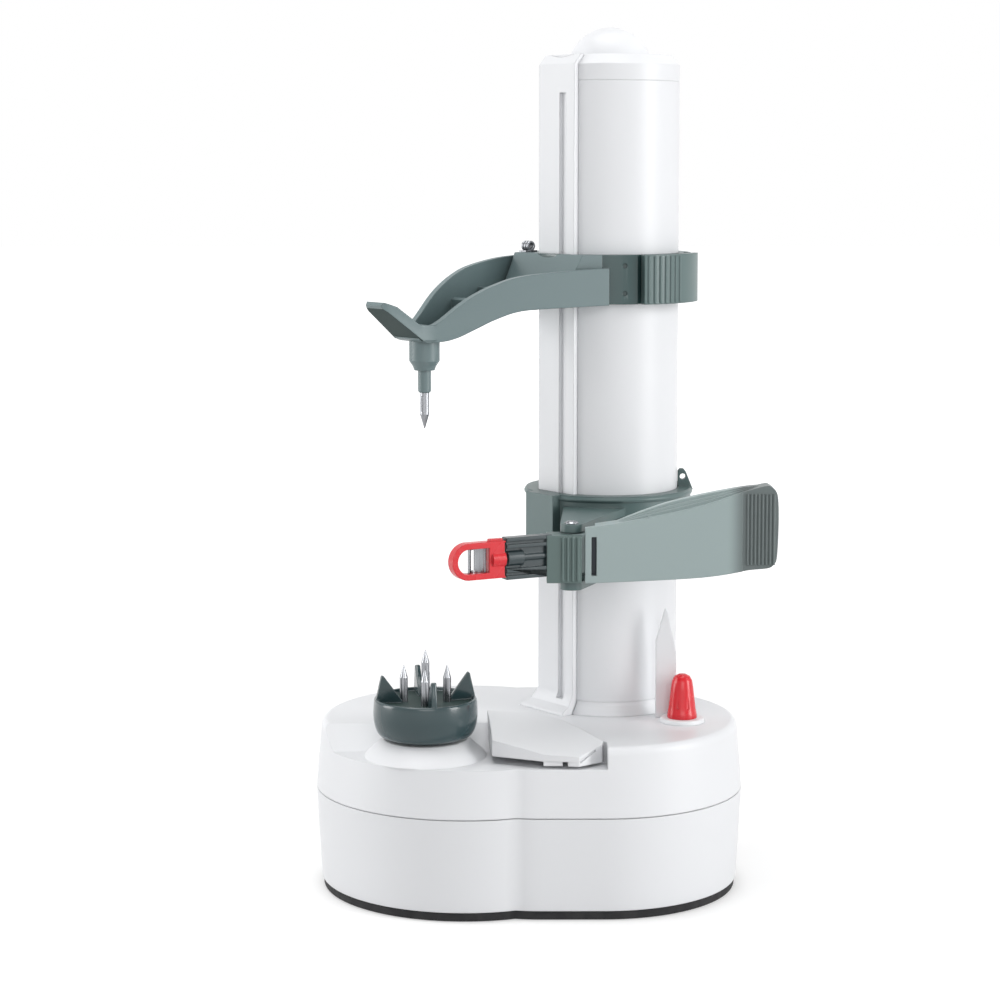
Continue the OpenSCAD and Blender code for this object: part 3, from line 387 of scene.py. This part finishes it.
# radius of the edges, in millimetres, of each piece that shows
EDGE_RADII = {
    "foot_pad": 0.5, "base_lower_shell": 0.5, "base_upper_shell": 0.5, "battery_door": 0.25,
    "start_key": 0.6, "column_rail": 0.6, "column_cap": 0.8,
    "knife_stand": 0.35, "knife_handle": 0.35, "carriage_collar": 0.4,
    "peel_lever": 0.45, "blade_arm": 0.3, "blade_holder": 0.3, "top_arm": 0.5,
    "arm_release_button": 0.35, "top_spike": 0.25, "dc_jack": 0.3, "pivot_pin": 0.3,
}

# ---- pieces of their own ----


def mesh_piece(name, verts, faces, slot, body):
    """A new closed piece in the row frame that rides on a body."""
    mesh = bpy.data.meshes.new(name)
    mesh.from_pydata(verts, [], faces)
    mesh.materials.append(MATERIALS[slot])
    smooth(mesh)
    piece = bpy.data.objects.new(name, mesh)
    bpy.context.scene.collection.objects.link(piece)
    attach(piece, body)
    return piece


def tube_faces(rings, around):
    """Quads between rings of points, with both ends closed."""
    faces = [tuple(reversed(range(around))), tuple(range((rings - 1) * around, rings * around))]
    for row in range(rings - 1):
        for k in range(around):
            after = (k + 1) % around
            low, high = row * around, (row + 1) * around
            faces.append((low + k, low + after, high + after, high + k))
    return faces


def flipped(faces, first):
    """Faces turned to look the other way, whose points start at another number."""
    return [tuple(first + k for k in reversed(face)) for face in faces]


THREAD_PITCH = 3 * MM
THREAD_DEPTH = 0.8 * MM
THREAD_STEPS = 10
THREAD_SIDES = 32
CREST_END, FLANK_END, ROOT_END = 0.35, 0.5, 0.85


def thread_height(turn):
    """Height of a trapezoidal thread, 0 to 1, at a share of one turn."""
    turn %= 1
    if turn < CREST_END:
        return 1
    if turn < FLANK_END:
        return (FLANK_END - turn) / (FLANK_END - CREST_END)
    if turn < ROOT_END:
        return 0
    return (turn - ROOT_END) / (1 - ROOT_END)


def lead_screw():
    """Lead screw with a real helix, as long and as thick as its plain CAD node."""
    places = [(v.co.z, (v.co - COLUMN).to_2d().length)
              for v in frame["nodes"]["lead_screw"].data.vertices]
    crest = max(r for z, r in places)
    thick = [z for z, r in places if r > crest - THREAD_DEPTH / 2]
    journal = max(r for z, r in places if r < crest - THREAD_DEPTH / 2)
    low, high = min(z for z, r in places), max(z for z, r in places)
    start, end = min(thick), max(thick)
    steps = round((end - start) / THREAD_PITCH * THREAD_STEPS)
    rows = [(low, None), (start, None)]
    rows += [(start + (end - start) * k / steps, k / THREAD_STEPS) for k in range(steps + 1)]
    rows += [(end, None), (high, None)]
    verts = []
    for z, turn in rows:
        for k in range(THREAD_SIDES):
            share = k / THREAD_SIDES
            radius = journal
            if turn is not None:
                radius = crest - THREAD_DEPTH * (1 - thread_height(turn - share))
            angle = share * math.tau
            verts.append((COLUMN.x + radius * math.cos(angle),
                          COLUMN.y + radius * math.sin(angle), z))
    piece = mesh_piece("lead_screw_thread", verts, tube_faces(len(rows), THREAD_SIDES), "steel",
                       BODY_OF["lead_screw"])
    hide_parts("lead_screw")


# the lips between hub and bars at the end of the blade arm, along the blade's axis
LIP_SPAN = (11.6 * MM, 16.9 * MM)
LIP_Z = (2.2 * MM, 3.4 * MM)
LIP_HALF = 0.7 * MM
LIP_CHAMFER = 0.2 * MM


def blade_arm_lips():
    """Two thin chamfered webs that close the gaps beside the hub of the blade's axis."""
    axle = joint("blade_tilt")
    origin, along, up = Vector(axle["pos_m"]), Vector(axle["axis"]).normalized(), Vector((0, 0, 1))
    across = along.cross(up)
    verts, faces = [], []
    for side in (-1, 1):
        low, high = (z * side for z in LIP_Z)
        cut = LIP_CHAMFER * side
        outline = [(-LIP_HALF, low), (LIP_HALF, low), (LIP_HALF, high - cut),
                   (LIP_HALF - LIP_CHAMFER, high), (LIP_CHAMFER - LIP_HALF, high),
                   (-LIP_HALF, high - cut)]
        first = len(verts)
        for x in LIP_SPAN:
            verts += [origin + along * x + across * y * side + up * z for y, z in outline]
        faces += flipped(tube_faces(len(LIP_SPAN), len(outline)), first)
    piece = mesh_piece("blade_arm_lips", verts, faces, "dark_abs", BODY_OF["blade_arm"])
    # painted shade: the webs take the dark material of the bars
    piece.data.materials[0] = MATERIALS["bars"]


CUP_SIDES = 96
LOOKS_UP = 0.95
# faces that look up and are lower than this over the cup's foot are its deck
CUP_DECK = 12.2 * MM
# the cup's outline in millimetres, as radius and height over its foot: bore, lip and deck
CUP_BORE = ((0, 1.5), (4, 1.5), (4, 0), (12.8, 0), (13.1, 0.05))
CUP_LIP = ((16.7, 12.0), (16.62, 12.45), (16.4, 12.75), (16.05, 12.9), (15.75, 12.88),
           (15.5, 12.75), (15.35, 12.5), (15.2, 12.0), (14.9, 11.8), (9.0, 11.6), (0, 11.6))
# the belly between them: its radius and how far it swells, its lowest place and its rise
CUP_BELLY = (14.1, 2.8, 0.6, 7.5)
BELLY_STEPS = 12
# a fin's outline, in millimetres: distance from the axis and height over the cup's foot
FIN = ((7.6, 11.0), (15.9, 11.0), (16.3, 12.6), (14.6, 20.2), (14.2, 20.6), (13.7, 20.4),
       (7.6, 12.1))
FIN_HALF = 0.85
FIN_CHAMFER = 0.25
FIN_ANGLES = (12, 102, 192, 282)


def food_cup():
    """The cup with its deck just under the rim, and four fins at the rim as in the photograph."""
    foot = min(v.co.z for v in frame["nodes"]["food_cup"].data.vertices)
    radius, swell, low, rise = CUP_BELLY
    belly = [(radius + swell * math.sin(a), low + rise * (1 - math.cos(a)))
             for a in (math.pi / 2 * k / BELLY_STEPS for k in range(BELLY_STEPS + 1))]
    outline = [*CUP_BORE, *belly, *CUP_LIP]
    verts, faces = [], []
    for r, z in outline[1:-1]:
        for k in range(CUP_SIDES):
            angle = k / CUP_SIDES * math.tau
            verts.append((FOOD.x + r * MM * math.cos(angle), FOOD.y + r * MM * math.sin(angle),
                          foot + z * MM))
    faces = tube_faces(len(outline) - 2, CUP_SIDES)
    middle = Vector((sum(r for r, z in FIN), sum(z for r, z in FIN))) / len(FIN)
    for turn in FIN_ANGLES:
        out = Vector((math.cos(math.radians(turn)), math.sin(math.radians(turn)), 0))
        across = Vector((-out.y, out.x, 0))
        first = len(verts)
        for offset, inset in ((-FIN_HALF, FIN_CHAMFER), (FIN_CHAMFER - FIN_HALF, 0),
                              (FIN_HALF - FIN_CHAMFER, 0), (FIN_HALF, FIN_CHAMFER)):
            for point in FIN:
                inward = (middle - Vector(point)).normalized() * inset
                r, z = Vector(point) + inward
                place = FOOD.xy.to_3d() + out * r * MM + across * offset * MM
                verts.append((place.x, place.y, foot + z * MM))
        faces += flipped(tube_faces(4, len(FIN)), first)
    piece = mesh_piece("food_cup_body", verts, faces, "grey_abs", BODY_OF["food_cup"])
    # painted shade: the cup takes its darker copy of the slate
    piece.data.materials[0] = MATERIALS["food_cup"]
    refinish_or_shade(piece, "matt",
             lambda corners, normal: normal.z > LOOKS_UP
             and all(p.z < foot + CUP_DECK for p in corners))
    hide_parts("food_cup")


# nodes with ring-shaped flat faces, whose facets are kept as they are
TURNED = {"column_cap"}

# ---- stage, light and camera ----


FLOOR_TONE = 0.62
FLOOR_SIZE = 12
FLOOR_GAP = 0.2 * MM
# distances from the object over which the floor's lift grows, and its strength there
LIFT_REACH = (0.25, 1.6)
LIFT_STRENGTH = (0.42, 1.0)


def floor_material():
    """Pale floor, lifted to white for the camera, gloss and glass, that still takes a shadow."""
    mat = bpy.data.materials.new("floor")
    mat.use_nodes = True
    tree = mat.node_tree
    tree.nodes.clear()
    out = add(tree, "ShaderNodeOutputMaterial")
    matt = add(tree, "ShaderNodeBsdfDiffuse")
    matt.inputs["Color"].default_value = (FLOOR_TONE, FLOOR_TONE, FLOOR_TONE, 1)
    lift = add(tree, "ShaderNodeEmission")
    # the lamps fade with distance and the lift grows, so that the far floor is as white
    away = add(tree, "ShaderNodeVectorMath", operation="LENGTH")
    tree.links.new(add(tree, "ShaderNodeTexCoord").outputs["Object"], away.inputs[0])
    ramp = remap(tree, away.outputs["Value"], LIFT_REACH, LIFT_STRENGTH)
    share = add(tree, "ShaderNodeMath", operation="MULTIPLY")
    tree.links.new(ramp, share.inputs[0])
    tree.links.new(seen_ray(tree, 0.0, 1.0), share.inputs[1])
    tree.links.new(share.outputs[0], lift.inputs["Strength"])
    both = add(tree, "ShaderNodeAddShader")
    tree.links.new(matt.outputs[0], both.inputs[0])
    tree.links.new(lift.outputs[0], both.inputs[1])
    tree.links.new(both.outputs[0], out.inputs["Surface"])
    return mat


def seen_ray(tree, unseen, seen):
    """One strength for light on the object, another for what camera, gloss and glass see."""
    path = add(tree, "ShaderNodeLightPath")
    direct = path.outputs["Is Camera Ray"]
    for ray in ("Is Glossy Ray", "Is Transmission Ray"):
        either = add(tree, "ShaderNodeMath", operation="MAXIMUM")
        tree.links.new(direct, either.inputs[0])
        tree.links.new(path.outputs[ray], either.inputs[1])
        direct = either.outputs[0]
    return remap(tree, direct, (0.0, 1.0), (unseen, seen))


def make_stage():
    """The pale floor just under the object."""
    bpy.ops.mesh.primitive_plane_add(size=FLOOR_SIZE,
                                     location=(0, 0, CAD_BOX[0][2] - FLOOR_GAP))
    floor = bpy.context.object
    floor.name = "floor"
    floor.data.materials.append(floor_material())


def area_light(name, place, target, size, power):
    """A white soft box that looks at a target."""
    light = bpy.data.lights.new(name, "AREA")
    light.shape = "RECTANGLE"
    light.size, light.size_y = size
    light.energy = power
    obj = bpy.data.objects.new(name, light)
    obj.location = place
    obj.rotation_euler = (Vector(target) - Vector(place)).to_track_quat("-Z", "Y").to_euler()
    bpy.context.scene.collection.objects.link(obj)


# name, place, size and power of each soft lamp; all point at the object's middle
LAMPS = (
    ("left_box", (-1.3, 0.0, 0.4), (0.6, 1.0), 9.5),
    ("right_box", (1.2, -0.5, 0.4), (0.5, 1.0), 11.0),
    ("top_box", (-0.2, 0.0, 2.6), (2.0, 1.7), 38.0),
    ("front_box", (0.1, -1.7, 0.6), (1.0, 0.8), 6.3),
)
LIT_CENTRE = (0, 0, 0.13)
UNSEEN_SKY = 0.26


def make_lights():
    """The lamps, and a sky that is white to the camera and dimmer as a light."""
    for name, place, size, power in LAMPS:
        area_light(name, place, LIT_CENTRE, size, power)
    world = bpy.data.worlds.new("studio")
    bpy.context.scene.world = world
    world.use_nodes = True
    tree = world.node_tree
    back = tree.nodes["Background"]
    tree.links.new(seen_ray(tree, UNSEEN_SKY, 1.0), back.inputs["Strength"])
    back.inputs["Color"].default_value = (1, 1, 1, 1)


LENS, SENSOR, SHIFT_Y = 88.03, 36, -0.1
CAMERA_PLACE = (-0.0132, -0.8044, 0.2409)
CAMERA_TILT = 5.6
CAMERA_TURN = -0.0062


def make_camera():
    """The photograph's camera, with its lens in millimetres and its tilt down in degrees."""
    data = bpy.data.cameras.new("camera")
    data.lens = LENS
    data.sensor_width = SENSOR
    data.shift_y = SHIFT_Y
    cam = bpy.data.objects.new("camera", data)
    cam.location = CAMERA_PLACE
    cam.rotation_euler = (math.radians(90 - CAMERA_TILT), 0, CAMERA_TURN)
    bpy.context.scene.collection.objects.link(cam)
    bpy.context.scene.camera = cam


bpy.context.scene.view_settings.view_transform = "Standard"
MATERIALS = make_materials()
paint_nodes(MATERIALS)
SKINS = {}
for node, radius in EDGE_RADII.items():
    SKINS[node] = rounded(node, radius, flat=0 if node in TURNED else FLAT_ANGLE)
# painted shade on the upper arm's ring
refinish_or_shade(SKINS["top_arm"], "ring", on_ring)
# painted shade on the thumb plate's underside
refinish_or_shade(SKINS["top_arm"], "matt", under_plate)
# painted shade on the blade arm's bars
refinish_or_shade(SKINS["blade_arm"], "bars", on_bars)
# painted shade in the lever's slot
refinish_or_shade(SKINS["peel_lever"], "slot", in_slot)
lead_screw()
blade_arm_lips()
food_cup()
make_stage()
make_lights()
make_camera()

bpy.context.view_layer.update()
